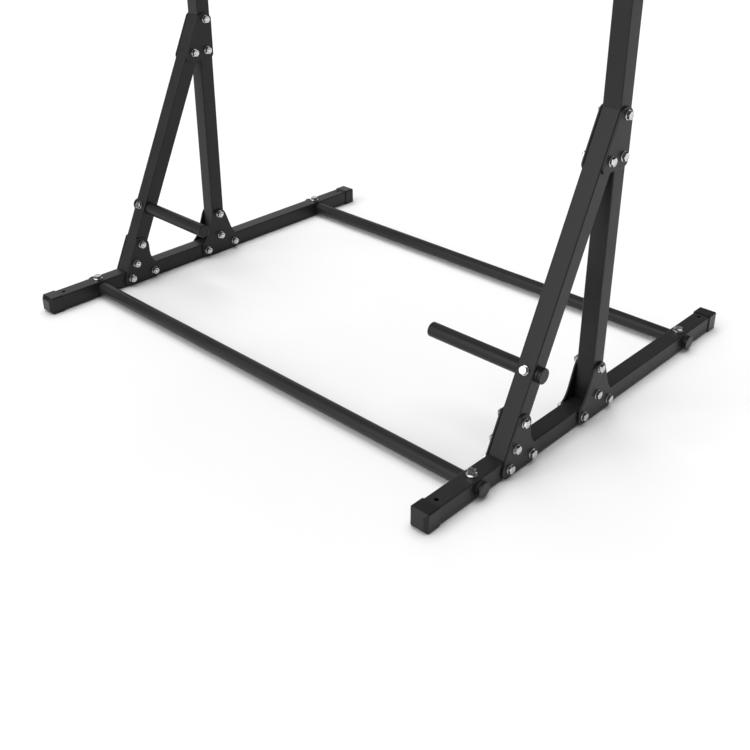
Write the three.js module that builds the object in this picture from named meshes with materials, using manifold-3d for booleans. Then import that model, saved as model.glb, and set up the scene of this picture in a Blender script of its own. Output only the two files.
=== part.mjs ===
// Power tower: a free-standing pull-up, dip and push-up station of bolted square steel tube.
// Millimetres, +Z up, -Y towards the user of the dip station. The origin is on the floor, in the
// middle of the base. Left is -X. Each side frame is a runner, a post and a front brace, joined by
// pairs of gusset plates. The upper posts telescope in the posts and carry the pull-up bar.

import * as THREE from 'three';
import { mergeVertices } from 'three/addons/utils/BufferGeometryUtils.js';
import Module from 'manifold-3d';

const wasm = await Module();
wasm.setup();

// ---------- driving dimensions ----------

const GAP = 0.3; // clearance between touching pieces
const SEGMENTS = 16; // sides of a round piece
const SMALL_SEGMENTS = 8; // sides of a bolt hole or shank

const TUBE = 40; // square tube, across the flats
const TUBE_WALL = 2;
const TUBE_ROUND = 3; // outside corner radius
const BAR = 32; // round tube, outside diameter
const BAR_WALL = 2;
const BAR_HOLE = 33; // through a square tube's walls

const STANCE = 1249; // between the centres of the side frames
const BASE_DEPTH = 1092; // over the runner caps
const CAP_WALL = 1.8;
const CAP_LENGTH = 38;
const CAP_SOCKET = 29; // length of runner inside a cap
const CAP_CHAMFER = 7;
const CORNER_HOLE_INSET = 53; // small hole in the runner's top wall, from the end of the base

const RUNNER_Z = CAP_WALL + GAP + TUBE / 2; // runner's centre line
const RUNNER_TOP = RUNNER_Z + TUBE / 2;
const CROSSBAR_SPACING = 781;
const BAR_END_OUT = 6; // round tube's end beyond the square tube it passes through

const BRACE_FOOT = 316; // brace's front face ahead of the post's centre, at the runner's top
const BRACE_HEAD = 673; // height at which the brace's front face meets the post's
const HANDLE_Z = 196.4; // push-up handle's centre line
const HANDLE_REACH = 226; // push-up handle's length inboard of the brace

const PLATE = 4; // gusset plates
const END_PLATE = 5; // welded end and base plates
const M10 = { shank: 10, hole: 11, head: 16, headHeight: 6.4, washer: 20, washerThick: 2, nut: 8 };
const M12 = { shank: 12, hole: 13.5, head: 18, headHeight: 7.5, washer: 24, washerThick: 2.5 };
const SMALL_HOLE = 9; // for an M8 screw

const POST_TOP = 1480;
const UPPER_POST = 35;
const UPPER_TOP = 2080;
const STOP_Z = 1190; // stop bolt under the upper post
const STOP_PITCH = 60; // between the height holes
const STOP_HOLES = 4;
const KNOB_Z = 1440;

const BEAM_Z = 1105; // dip beam between the posts
const BEAM_BOLT_PITCH = 80;
const ARM_BOLT_PITCH = 60;
const MAST_BOLT_PITCH = 20;
const DIP_ARM_X = 270;
const DIP_ARM_LENGTH = 490;
const BAR_Z = 2075; // pull-up bar's long middle stretch
const BAR_BACK = 170; // behind the posts
const BAR_CORNER_X = 430; // pull-up bar's corners
const FLANGE_Z = 2005; // pull-up bar's end plates
const FLANGE_BOLT_PITCH = 64;

const BOSS = { diameter: 24, height: 9 }; // welded around the clamp knob's screw
const PLUG_STEM = 14; // length of a round plug in its tube
const PLUG_HEAD = 33;

const X = new THREE.Vector3(1, 0, 0);
const Y = new THREE.Vector3(0, 1, 0);
const Z = new THREE.Vector3(0, 0, 1);

// ---------- solids ----------

// A closed three.js geometry as a manifold-3d solid.
function solid(geometry) {
  const bare = geometry.clone();
  bare.deleteAttribute('normal');
  bare.deleteAttribute('uv');
  const merged = mergeVertices(bare, 1e-3);
  return new wasm.Manifold(new wasm.Mesh({
    numProp: 3,
    vertProperties: merged.attributes.position.array,
    triVerts: new Uint32Array(merged.index.array),
  }));
}

// A manifold-3d solid back as a three.js geometry.
function geometryOf(made) {
  const mesh = made.getMesh();
  const geometry = new THREE.BufferGeometry();
  geometry.setAttribute('position', new THREE.BufferAttribute(mesh.vertProperties, 3));
  geometry.setIndex(new THREE.BufferAttribute(mesh.triVerts, 1));
  geometry.computeVertexNormals();
  return geometry;
}

function join(...geometries) {
  return geometryOf(geometries.map(solid).reduce((sum, next) => sum.add(next)));
}

function cut(geometry, ...tools) {
  return geometryOf(tools.map(solid).reduce((rest, tool) => rest.subtract(tool), solid(geometry)));
}

function common(geometry, other) {
  return geometryOf(solid(geometry).intersect(solid(other)));
}

// A geometry drawn along +Z, turned so that it runs along the named axis.
function along(axis, geometry) {
  if (axis === 'x') return geometry.rotateY(Math.PI / 2);
  if (axis === 'y') return geometry.rotateX(-Math.PI / 2);
  return geometry;
}

// A full cylinder centred on the origin.
function rod(axis, diameter, length, sides = SEGMENTS) {
  const cylinder = new THREE.CylinderGeometry(diameter / 2, diameter / 2, length, sides);
  return along(axis, cylinder.rotateX(Math.PI / 2));
}

function block(x, y, z) {
  return new THREE.BoxGeometry(x, y, z);
}

function roundedSquare(size, radius, path = new THREE.Shape()) {
  const flat = size / 2 - radius;
  const corners = [[flat, flat], [-flat, flat], [-flat, -flat], [flat, -flat]];
  path.moveTo(size / 2, -flat);
  corners.forEach(([x, y], i) => {
    path.absarc(x, y, radius, i * Math.PI / 2, (i + 1) * Math.PI / 2, false);
  });
  return path;
}

// Square tube centred on the origin, open at both ends.
function squareTube(axis, size, length, wall = TUBE_WALL) {
  const section = roundedSquare(size, TUBE_ROUND);
  section.holes.push(roundedSquare(size - 2 * wall, TUBE_ROUND - wall / 2, new THREE.Path()));
  const tube = new THREE.ExtrudeGeometry(section, {
    depth: length, bevelEnabled: false, curveSegments: 1,
  });
  return along(axis, tube.translate(0, 0, -length / 2));
}

// Round tube centred on the origin, open at both ends.
function roundTube(axis, outside, wall, length) {
  const inside = outside / 2 - wall;
  const profile = [[inside, -1], [outside / 2, -1], [outside / 2, 1], [inside, 1], [inside, -1]];
  return turned(axis, profile.map(([r, end]) => [r, end * length / 2]));
}

// A profile of [radius, height] points turned about the named axis.
function turned(axis, profile, sides = SEGMENTS) {
  const points = profile.map(([r, h]) => new THREE.Vector2(r, h));
  const lathe = new THREE.LatheGeometry(points, sides).rotateX(Math.PI / 2);
  return along(axis, lathe);
}

// A hexagonal prism standing on z = 0.
function hexagon(acrossFlats, height) {
  return rod('z', 2 * acrossFlats / Math.sqrt(3), height, 6).translate(0, 0, height / 2);
}

// A bolt along Z: the washer's face is at z = 0, the head is above it and the shank below. With a
// grip, a washer and a nut close it that far below.
function bolt(size, length, grip = 0) {
  const washer = rod('z', size.washer, size.washerThick).translate(0, 0, size.washerThick / 2);
  const head = hexagon(size.head, size.headHeight).translate(0, 0, size.washerThick - 0.1);
  const shank = rod('z', size.shank, length + 1, SMALL_SEGMENTS).translate(0, 0, (1 - length) / 2);
  const pieces = [washer, head, shank];
  if (grip) {
    const nutTop = -grip - size.washerThick;
    pieces.push(washer.clone().translate(0, 0, nutTop));
    pieces.push(hexagon(size.head, size.nut).translate(0, 0, nutTop + 0.1 - size.nut));
  }
  return join(...pieces);
}

// A plug for a round tube's end: its head's back is at z = 0 and its stem runs down the bore.
function roundPlug(headDiameter, headHeight, stemLength) {
  const r = headDiameter / 2;
  const stem = BAR / 2 - BAR_WALL - GAP;
  return turned('z', [[0, -stemLength], [stem, -stemLength], [stem, 0], [r, 0],
    [r, headHeight], [0, headHeight]]);
}

// A flat plate of the given outline (in Y and Z), with its thickness along X, centred on x = 0.
function plate(outline, thickness, holes, diameter) {
  const flat = new THREE.ExtrudeGeometry(outline, {
    depth: thickness, bevelEnabled: false, curveSegments: 2,
  }).translate(0, 0, -thickness / 2);
  // The outline's x runs along +Y and its y along +Z.
  const upright = flat.applyMatrix4(new THREE.Matrix4().makeBasis(Y, Z, X));
  const drills = holes.map(([y, z]) => (
    rod('x', diameter, thickness * 2, SMALL_SEGMENTS).translate(0, y, z)));
  return cut(upright, ...drills);
}

// A cushion's plain solid: a rounded block, centred on the origin, with its thickness along Z.
function cushion(width, depth, thickness, round) {
  const edge = thickness * 0.25;
  const w = width / 2 - edge;
  const d = depth / 2 - edge;
  const shape = new THREE.Shape();
  shape.moveTo(w, -d + round);
  [[w, d, 0], [-w, d, 1], [-w, -d, 2], [w, -d, 3]].forEach(([x, y, quarter]) => {
    const cx = x - Math.sign(x) * round;
    const cy = y - Math.sign(y) * round;
    shape.absarc(cx, cy, round, quarter * Math.PI / 2, (quarter + 1) * Math.PI / 2, false);
  });
  return new THREE.ExtrudeGeometry(shape, {
    depth: thickness - 2 * edge, bevelThickness: edge, bevelSize: edge,
    bevelSegments: 1, curveSegments: 2,
  }).translate(0, 0, edge - thickness / 2);
}

// ---------- materials ----------

function finish(color, roughness, metalness) {
  return () => new THREE.MeshStandardMaterial({ color, roughness, metalness });
}

const powderCoat = finish(0x1d1d1e, 0.55, 0.0);
const blackPlastic = finish(0x151515, 0.5, 0.0);
const zinc = finish(0xc8c9cb, 0.3, 1.0);
const rubber = finish(0x121212, 0.85, 0.0);
const foam = finish(0x161616, 0.95, 0.0);
const vinyl = finish(0x19191b, 0.45, 0.0);

function part(name, geometry, material, x = 0, y = 0, z = 0) {
  const mesh = new THREE.Mesh(geometry, material());
  mesh.name = name;
  mesh.position.set(x, y, z);
  return mesh;
}

const tower = new THREE.Group();
const sides = [{ name: 'left', sign: -1 }, { name: 'right', sign: 1 }];
const ends = [{ name: 'front', sign: -1 }, { name: 'rear', sign: 1 }];

// ---------- the brace's line and the bolts on it ----------

const braceAngle = Math.atan((BRACE_FOOT - TUBE / 2) / (BRACE_HEAD - RUNNER_TOP));
const up = new THREE.Vector2(Math.sin(braceAngle), Math.cos(braceAngle)); // along the brace, in Y and Z
const out = new THREE.Vector2(-up.y, up.x); // square to the brace, towards its front

// Where the brace's front face, moved inwards by the given distance, is at height z.
function braceY(z, inwards = 0) {
  return -BRACE_FOOT + (z - RUNNER_TOP) * Math.tan(braceAngle) + inwards / Math.cos(braceAngle);
}

const braceStart = new THREE.Vector2(braceY(RUNNER_Z, TUBE / 2), RUNNER_Z);
const onBrace = (distance) => [braceStart.x + up.x * distance, braceStart.y + up.y * distance];
const handleDistance = (HANDLE_Z - RUNNER_Z) / up.y;

const FOOT_PITCH = 72.5; // between a front gusset's bolts on the runner
const BRACE_PITCHES = [0, 41, 94.5]; // a front gusset's bolts, along the brace
const REAR_REACH = 48; // a rear gusset's bolts on the runner, from the post's centre
const REAR_BOLTS_Z = [118, 54];
const UPPER_BOLTS_Z = [659, 579];

const frontBolts = [...BRACE_PITCHES.map(onBrace), [braceStart.x + FOOT_PITCH, RUNNER_Z]];
const rearBolts = [...REAR_BOLTS_Z.map((z) => [0, z]), [REAR_REACH, RUNNER_Z], [-REAR_REACH, RUNNER_Z]];
const upperBolts = [...UPPER_BOLTS_Z.map((z) => [0, z]), onBrace((UPPER_BOLTS_Z[1] - RUNNER_Z) / up.y)];
const beamBolts = [-1, 1].map((end) => [0, BEAM_Z + end * BEAM_BOLT_PITCH / 2]);
const stopHoles = Array.from({ length: STOP_HOLES }, (_, i) => [0, STOP_Z + i * STOP_PITCH]);

// ---------- gusset outlines, drawn in Y and Z ----------

const FOOT_ROUND = 17; // corners of a gusset on the runner
const FOOT_REACH = 16; // gusset beyond its outermost bolt on the runner
const FOOT_SHOULDER = 30; // centre of the corner above the runner's top edge
const SHOULDER_ANGLE = THREE.MathUtils.degToRad(50);
const plateFoot = RUNNER_Z - TUBE / 2 + FOOT_ROUND;

// The rear end of a gusset's foot, from the upright edge above it down to the runner's bottom.
function footEnd(shape, boltY, edgeY, edgeZ, lean) {
  const y = boltY + FOOT_REACH - FOOT_ROUND;
  const startY = y + FOOT_ROUND * Math.cos(SHOULDER_ANGLE);
  const startZ = FOOT_SHOULDER + FOOT_ROUND * Math.sin(SHOULDER_ANGLE);
  // The concave sweep's control point is where the leaning edge meets the shoulder's tangent.
  const tangent = new THREE.Vector2(Math.sin(SHOULDER_ANGLE), -Math.cos(SHOULDER_ANGLE));
  const edge = new THREE.Vector2(Math.sin(lean), -Math.cos(lean));
  const run = ((startY - edgeY) * tangent.y - (startZ - edgeZ) * tangent.x) / edge.cross(tangent);
  shape.lineTo(edgeY, edgeZ);
  shape.quadraticCurveTo(edgeY + edge.x * run, edgeZ + edge.y * run, startY, startZ);
  shape.absarc(y, FOOT_SHOULDER, FOOT_ROUND, SHOULDER_ANGLE, 0, true);
  shape.absarc(y, plateFoot, FOOT_ROUND, 0, -Math.PI / 2, true);
}

function frontGusset() {
  const [domeY, domeZ] = onBrace(84);
  const dome = { y: domeY, z: domeZ, r: 28 };
  const lip = Math.acos(TUBE / 2 / dome.r); // from the brace's normal to where the dome meets its front
  const shape = new THREE.Shape();
  const start = Math.PI - braceAngle - lip;
  shape.absarc(dome.y, dome.z, dome.r, start, 0, true);
  footEnd(shape, frontBolts[3][0], dome.y + dome.r, dome.z - 8, 0);
  const toeY = braceY(plateFoot, FOOT_ROUND);
  shape.absarc(toeY, plateFoot, FOOT_ROUND, -Math.PI / 2, -Math.PI - braceAngle, true);
  shape.closePath();
  return shape;
}

function rearGusset() {
  const dome = { z: 105, r: 25 };
  const lean = THREE.MathUtils.degToRad(20);
  const sweepTop = { y: 39.5, z: 69.7 };
  const half = new THREE.Shape();
  half.absarc(0, dome.z, dome.r, Math.PI / 2, lean, true);
  footEnd(half, rearBolts[2][0], sweepTop.y, sweepTop.z, lean);
  const points = half.getPoints(2);
  const mirrored = points.map((p) => new THREE.Vector2(-p.x, p.y)).reverse();
  return new THREE.Shape([...points, ...mirrored.slice(0, -1)]);
}

function upperGusset() {
  const dome = { y: -4, z: 648.5, r: 26.5 };
  const round = 13;
  const bottom = 556 + round;
  const back = TUBE / 2;
  const backLip = Math.acos((back - dome.y) / dome.r);
  const toFront = (dome.y - braceY(dome.z)) * Math.cos(braceAngle);
  const frontLip = Math.acos(toFront / dome.r);
  const shape = new THREE.Shape();
  shape.absarc(dome.y, dome.z, dome.r, Math.PI - braceAngle - frontLip, backLip, true);
  shape.absarc(back - round, bottom, round, 0, -Math.PI / 2, true);
  shape.absarc(braceY(bottom, round), bottom, round, -Math.PI / 2, -Math.PI - braceAngle, true);
  shape.closePath();
  return shape;
}

// ---------- side frames ----------

function runner() {
  const tube = squareTube('y', TUBE, BASE_DEPTH - 2 * (CAP_LENGTH - CAP_SOCKET + GAP));
  const drills = [];
  for (const end of ends) {
    drills.push(rod('x', BAR_HOLE, TUBE * 2).translate(0, end.sign * CROSSBAR_SPACING / 2, 0));
    drills.push(rod('z', M12.hole, TUBE, SMALL_SEGMENTS)
      .translate(0, end.sign * CROSSBAR_SPACING / 2, TUBE / 2));
    drills.push(rod('z', SMALL_HOLE, TUBE / 2, SMALL_SEGMENTS)
      .translate(0, end.sign * (BASE_DEPTH / 2 - CORNER_HOLE_INSET), TUBE / 2));
  }
  for (const [y] of [frontBolts[0], frontBolts[3], rearBolts[2], rearBolts[3]]) {
    drills.push(rod('x', M10.hole, TUBE * 2, SMALL_SEGMENTS).translate(0, y, 0));
  }
  return cut(tube, ...drills);
}

// A square cap for a runner's end, its closed end towards -Y at the local origin.
function runnerCap() {
  const width = TUBE + 2 * (GAP + CAP_WALL);
  const face = width - 2 * CAP_CHAMFER;
  const body = new THREE.ExtrudeGeometry(roundedSquare(width, TUBE_ROUND), {
    depth: CAP_LENGTH, bevelEnabled: false, curveSegments: 1,
  });
  // A four-sided pyramid with its corners cut back takes the chamfer off the closed end.
  const half = width / 2;
  const wide = half + CAP_LENGTH;
  const pyramid = new THREE.CylinderGeometry(
    face / 2 * Math.SQRT2, (face / 2 + wide) * Math.SQRT2, wide, 4, 1, false, Math.PI / 4,
  ).rotateX(-Math.PI / 2).translate(0, 0, wide / 2);
  const socket = block(TUBE + 2 * GAP, TUBE + 2 * GAP, CAP_SOCKET * 2).translate(0, 0, CAP_LENGTH);
  return along('y', cut(common(body, pyramid), socket));
}

function post() {
  const height = POST_TOP - RUNNER_TOP - GAP;
  const middle = (POST_TOP + RUNNER_TOP + GAP) / 2;
  const tube = squareTube('z', TUBE, height).translate(0, 0, middle);
  const boss = rod('y', BOSS.diameter, BOSS.height + 1)
    .translate(0, TUBE / 2 + (BOSS.height - 1) / 2, KNOB_Z);
  const holes = [rearBolts[0], rearBolts[1], upperBolts[0], upperBolts[1], ...beamBolts, ...stopHoles];
  const drills = holes
    .map(([y, z]) => rod('x', M10.hole, TUBE * 2, SMALL_SEGMENTS).translate(0, y, z));
  drills.push(rod('y', M12.hole, TUBE, SMALL_SEGMENTS).translate(0, TUBE * 0.75, KNOB_Z));
  return cut(join(tube, boss), ...drills);
}

// The brace stands on its own origin, where its centre line crosses the runner's.
function brace(mesh) {
  const rough = 900; // cut to length by the spaces left for the runner and the post
  const tube = squareTube('z', TUBE, rough).translate(0, 0, rough / 2 - TUBE);
  const drills = [frontBolts[1], frontBolts[2], upperBolts[2]].map(([y, z]) => {
    const distance = Math.hypot(y - braceStart.x, z - braceStart.y);
    return rod('x', M10.hole, TUBE * 2, SMALL_SEGMENTS).translate(0, 0, distance);
  });
  drills.push(rod('x', BAR_HOLE, TUBE * 2).translate(0, 0, handleDistance));
  drills.push(rod('y', M10.hole, TUBE * 2, SMALL_SEGMENTS).translate(0, 0, handleDistance));
  const runnerSpace = block(rough, rough, rough).translate(0, 0, RUNNER_TOP + GAP - rough / 2);
  const postSpace = block(rough, rough, rough * 2).translate(0, (rough - TUBE) / 2 - GAP, rough);
  const intoBrace = mesh.matrix.clone().invert();
  drills.push(runnerSpace.applyMatrix4(intoBrace), postSpace.applyMatrix4(intoBrace));
  return cut(tube, ...drills);
}

// The push-up handle points inboard along X from the brace, which is centred on x = 0.
function pushupHandle(inboard) {
  const length = HANDLE_REACH + TUBE + BAR_END_OUT;
  const tube = roundTube('x', BAR, BAR_WALL, length)
    .translate(inboard * (HANDLE_REACH + TUBE / 2 - length / 2), 0, 0);
  const drill = rod('z', M10.hole, TUBE * 2, SMALL_SEGMENTS).rotateX(Math.PI / 2 - braceAngle);
  return cut(tube, drill);
}

for (const side of sides) {
  const frame = new THREE.Group();
  frame.position.x = side.sign * STANCE / 2;
  tower.add(frame);

  frame.add(part(`runner_${side.name}`, runner(), powderCoat, 0, 0, RUNNER_Z));
  for (const end of ends) {
    const cap = part(`runner_cap_${side.name}_${end.name}`, runnerCap(), blackPlastic,
      0, end.sign * BASE_DEPTH / 2, RUNNER_Z);
    cap.rotation.z = end.sign > 0 ? Math.PI : 0;
    frame.add(cap);
    frame.add(part(`crossbar_bolt_${side.name}_${end.name}`, bolt(M12, 14), zinc,
      0, end.sign * CROSSBAR_SPACING / 2, RUNNER_TOP + GAP));
  }
  frame.add(part(`post_${side.name}`, post(), powderCoat));

  const braceMesh = part(`brace_${side.name}`, undefined, powderCoat, 0, braceStart.x, braceStart.y);
  braceMesh.rotation.x = -braceAngle;
  braceMesh.updateMatrix();
  braceMesh.geometry = brace(braceMesh);
  frame.add(braceMesh);

  const plates = [
    ['front', frontGusset(), frontBolts],
    ['rear', rearGusset(), rearBolts],
    ['upper', upperGusset(), upperBolts],
  ];
  for (const [place, outline, holes] of plates) {
    for (const [face, outwards] of [['inner', -side.sign], ['outer', side.sign]]) {
      frame.add(part(`gusset_${place}_${side.name}_${face}`, plate(outline, PLATE, holes, M10.hole),
        powderCoat, outwards * (TUBE / 2 + GAP + PLATE / 2)));
    }
  }

  const [handleY, handleZ] = onBrace(handleDistance);
  const inboard = -side.sign;
  frame.add(part(`pushup_handle_${side.name}`, pushupHandle(inboard), powderCoat, 0, handleY, handleZ));
  const cap = part(`pushup_handle_cap_${side.name}`, roundPlug(PLUG_HEAD, 7, PLUG_STEM), blackPlastic,
    side.sign * (TUBE / 2 + BAR_END_OUT + GAP), handleY, handleZ);
  cap.rotation.y = side.sign * Math.PI / 2;
  frame.add(cap);
  const plug = part(`pushup_handle_plug_${side.name}`, roundPlug(BAR, 2, PLUG_STEM), blackPlastic,
    inboard * (TUBE / 2 + HANDLE_REACH + GAP), handleY, handleZ);
  plug.rotation.y = inboard * Math.PI / 2;
  frame.add(plug);
  const seat = TUBE / 2 + GAP;
  const handleBolt = part(`pushup_handle_bolt_${side.name}`, bolt(M10, TUBE + 14, 2 * seat), zinc,
    0, handleY + out.x * seat, handleZ + out.y * seat);
  handleBolt.rotation.x = Math.PI / 2 - braceAngle;
  frame.add(handleBolt);
}

// ---------- cross bars ----------

function crossbar() {
  const length = STANCE + TUBE + 2 * BAR_END_OUT;
  const drills = sides.map((side) => (
    rod('z', M12.hole, BAR, SMALL_SEGMENTS).translate(side.sign * STANCE / 2, 0, BAR / 2)));
  return cut(roundTube('x', BAR, BAR_WALL, length), ...drills);
}

for (const end of ends) {
  const y = end.sign * CROSSBAR_SPACING / 2;
  tower.add(part(`crossbar_${end.name}`, crossbar(), powderCoat, 0, y, RUNNER_Z));
  for (const side of sides) {
    const plug = roundPlug(PLUG_HEAD, 6, PLUG_STEM);
    const cap = part(`crossbar_cap_${side.name}_${end.name}`, plug, blackPlastic,
      side.sign * ((STANCE + TUBE) / 2 + BAR_END_OUT + GAP), y, RUNNER_Z);
    cap.rotation.y = side.sign * Math.PI / 2;
    tower.add(cap);
  }
}

// ---------- dip station ----------

const beamLength = STANCE - TUBE - 2 * GAP;

function mastDrills(z) {
  return [-1, 1].map((end) => (
    rod('y', SMALL_HOLE, TUBE * 2, SMALL_SEGMENTS).translate(end * MAST_BOLT_PITCH / 2, 0, z)));
}

function dipBeam() {
  const endPlate = { thick: END_PLATE, wide: 50, high: BEAM_BOLT_PITCH + 40 };
  const pieces = [squareTube('x', TUBE, beamLength - endPlate.thick)];
  const bores = [block(beamLength * 2, TUBE - 2 * TUBE_WALL - 2, TUBE - 2 * TUBE_WALL - 2)];
  for (const side of sides) {
    const x = side.sign * (beamLength - endPlate.thick) / 2;
    pieces.push(block(endPlate.thick, endPlate.wide, endPlate.high).translate(x, 0, 0));
    for (const [, z] of beamBolts) {
      bores.push(rod('x', M10.hole, 20, SMALL_SEGMENTS).translate(x, 0, z - BEAM_Z));
    }
    for (const end of [-1, 1]) {
      bores.push(rod('y', M10.hole, TUBE * 2, SMALL_SEGMENTS)
        .translate(side.sign * DIP_ARM_X + end * ARM_BOLT_PITCH / 2, 0, 0));
    }
  }
  return cut(join(...pieces), ...bores, ...mastDrills(0));
}

const armPlate = { thick: END_PLATE, wide: ARM_BOLT_PITCH + 30, high: 60 };
const lowerPlate = { wide: armPlate.wide / 2, high: 30, z: -43 }; // behind the web's foot
const WEB = { depth: 58, foot: 30, reach: 150, tip: 13 }; // the triangular plate under the tube
const SHELF = { wide: 60, deep: 180, thick: 4, start: 70, sunk: 0.5 }; // under the arm pad

// A dip arm with its base plate's back at the local origin, pointing along -Y.
function dipArm() {
  const tube = roundTube('y', BAR, BAR_WALL, DIP_ARM_LENGTH)
    .translate(0, -DIP_ARM_LENGTH / 2, 0);
  const base = block(armPlate.wide, armPlate.thick, armPlate.high).translate(0, -armPlate.thick / 2, 0);
  const web = new THREE.Shape();
  web.moveTo(0, 0);
  web.lineTo(0, -WEB.depth);
  web.lineTo(-WEB.foot, -WEB.depth);
  web.lineTo(-WEB.reach, -WEB.tip);
  web.lineTo(-WEB.reach, 0);
  web.closePath();
  const strut = plate(web, END_PLATE, [], 0);
  const shelf = block(SHELF.wide, SHELF.deep, SHELF.thick)
    .translate(0, -SHELF.start - SHELF.deep / 2, BAR / 2 + SHELF.thick / 2 - SHELF.sunk);
  const lower = block(lowerPlate.wide, armPlate.thick, lowerPlate.high)
    .translate(0, -armPlate.thick / 2, lowerPlate.z);
  const bore = rod('y', BAR - 2 * BAR_WALL, 2 * DIP_ARM_LENGTH + 100);
  const drills = [-1, 1].map((end) => (
    rod('y', M10.hole, TUBE, SMALL_SEGMENTS).translate(end * ARM_BOLT_PITCH / 2, 0, 0)));
  return cut(join(tube, base, lower, strut, shelf), bore, ...drills);
}

// A closed hand grip: a sleeve with a rounded end, slipped over the end of a round tube.
function dipGrip() {
  const inside = BAR / 2 + GAP;
  const outside = BAR / 2 + 5;
  const end = -8;
  const rim = outside + 3;
  const [rimStart, length] = [126, 132];
  return turned('y', [[0, end], [outside, end], [outside, rimStart], [rim, rimStart],
    [rim, length], [inside, length], [inside, 0], [0, 0]]);
}

const armPad = { wide: 100, deep: 250, high: 42, y: -190, round: 14 };
const armPadZ = BEAM_Z + BAR / 2 + SHELF.thick - SHELF.sunk + GAP + armPad.high / 2;

tower.add(part('dip_beam', dipBeam(), powderCoat, 0, 0, BEAM_Z));
for (const side of sides) {
  const x = side.sign * DIP_ARM_X;
  const y = -TUBE / 2 - GAP;
  tower.add(part(`dip_arm_${side.name}`, dipArm(), powderCoat, x, y, BEAM_Z));
  tower.add(part(`dip_grip_${side.name}`, dipGrip(), rubber, x, y - DIP_ARM_LENGTH - GAP, BEAM_Z));
  const pad = cushion(armPad.wide, armPad.deep, armPad.high, armPad.round);
  tower.add(part(`arm_pad_${side.name}`, pad, vinyl, x, y + armPad.y, armPadZ));
}

const MAST_LOW = BEAM_Z - 45;
const MAST_HIGH = 1500;
const mastY = -TUBE - GAP;

function mast() {
  const tube = squareTube('z', TUBE, MAST_HIGH - MAST_LOW).translate(0, 0, (MAST_HIGH + MAST_LOW) / 2);
  return cut(tube, ...mastDrills(BEAM_Z));
}

const backPadSize = { wide: 280, high: 420, deep: 52, z: 1345, round: 30 };
tower.add(part('back_pad_mast', mast(), powderCoat, 0, mastY, 0));
const backPad = part('back_pad',
  cushion(backPadSize.wide, backPadSize.high, backPadSize.deep, backPadSize.round), vinyl,
  0, mastY - TUBE / 2 - GAP - backPadSize.deep / 2, backPadSize.z);
backPad.rotation.x = Math.PI / 2;
tower.add(backPad);

// ---------- pull-up frame: slides up and down in the posts ----------

const STOP_TOP = STOP_Z + M10.shank / 2 + GAP;

function upperPost() {
  const tube = squareTube('z', UPPER_POST, UPPER_TOP - STOP_TOP)
    .translate(0, 0, (UPPER_TOP + STOP_TOP) / 2);
  const drills = [-1, 1].map((end) => (
    rod('x', M10.hole, TUBE * 2, SMALL_SEGMENTS).translate(0, 0, FLANGE_Z + end * FLANGE_BOLT_PITCH / 2)));
  return cut(tube, ...drills);
}

function upperPostCap() {
  const top = new THREE.ExtrudeGeometry(roundedSquare(UPPER_POST, TUBE_ROUND), {
    depth: 2, bevelThickness: 1.5, bevelSize: 1.5, bevelOffset: -1.5, bevelSegments: 1, curveSegments: 1,
  }).translate(0, 0, 1.5);
  const inside = UPPER_POST - 2 * TUBE_WALL - 2 * GAP;
  return join(top, block(inside - 2, inside - 2, 16).translate(0, 0, -7));
}

// The bent bar between the upper posts' inner faces, with its end plates.
function pullUpBar() {
  const endX = (STANCE - UPPER_POST) / 2 - GAP;
  const flange = { thick: END_PLATE, wide: 50, high: 100 };
  const corner = new THREE.Vector3(-BAR_CORNER_X, BAR_BACK, BAR_Z);
  const start = corner.clone().lerp(new THREE.Vector3(-endX, 0, FLANGE_Z), 1.12); // past the plate
  const bend = 70; // each leg's share of a corner's curve
  const before = corner.clone().lerp(start, bend / corner.distanceTo(start));
  const after = corner.clone().setX(corner.x + bend);
  const mirror = (p) => p.clone().setX(-p.x);
  const path = new THREE.CurvePath();
  path.add(new THREE.LineCurve3(start, before));
  path.add(new THREE.QuadraticBezierCurve3(before, corner, after));
  path.add(new THREE.LineCurve3(after, mirror(after)));
  path.add(new THREE.QuadraticBezierCurve3(mirror(after), mirror(corner), mirror(before)));
  path.add(new THREE.LineCurve3(mirror(before), mirror(start)));
  const sweep = (radius) => {
    const circle = new THREE.Shape().absarc(0, 0, radius, 0, 2 * Math.PI, false);
    return new THREE.ExtrudeGeometry(circle, { steps: 27, extrudePath: path, curveSegments: 6 });
  };
  const flanges = [];
  const tools = [sweep(BAR / 2 - BAR_WALL)];
  for (const end of [-1, 1]) {
    flanges.push(block(flange.thick, flange.wide, flange.high)
      .translate(end * (endX - flange.thick / 2), 0, FLANGE_Z));
    // What runs past the flange is cut off.
    tools.push(block(TUBE * 2, flange.high * 2, flange.high * 3)
      .translate(end * (endX + TUBE), 0, FLANGE_Z));
    for (const half of [-1, 1]) {
      tools.push(rod('x', M10.hole, TUBE / 2, SMALL_SEGMENTS)
        .translate(end * endX, 0, FLANGE_Z + half * FLANGE_BOLT_PITCH / 2));
    }
  }
  return cut(join(sweep(BAR / 2), ...flanges), ...tools);
}

// A foam sleeve over a round bar, along X.
function foamGrip(length) {
  const inside = BAR / 2 + GAP;
  const outside = inside + 5;
  const end = length / 2;
  return turned('x', [[inside, -end], [outside, -end], [outside, end], [inside, end], [inside, -end]]);
}

const PULL_UP_GRIP_X = 250;
const PULL_UP_GRIP_LENGTH = 140;
tower.add(part('pull_up_bar', pullUpBar(), powderCoat));

for (const side of sides) {
  const x = side.sign * STANCE / 2;
  tower.add(part(`upper_post_${side.name}`, upperPost(), powderCoat, x));
  tower.add(part(`upper_post_cap_${side.name}`, upperPostCap(), blackPlastic, x, 0, UPPER_TOP + GAP));
  tower.add(part(`pull_up_grip_${side.name}`, foamGrip(PULL_UP_GRIP_LENGTH), foam,
    side.sign * PULL_UP_GRIP_X, BAR_BACK, BAR_Z));
}

// ---------- height stops and clamp knobs ----------

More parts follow.
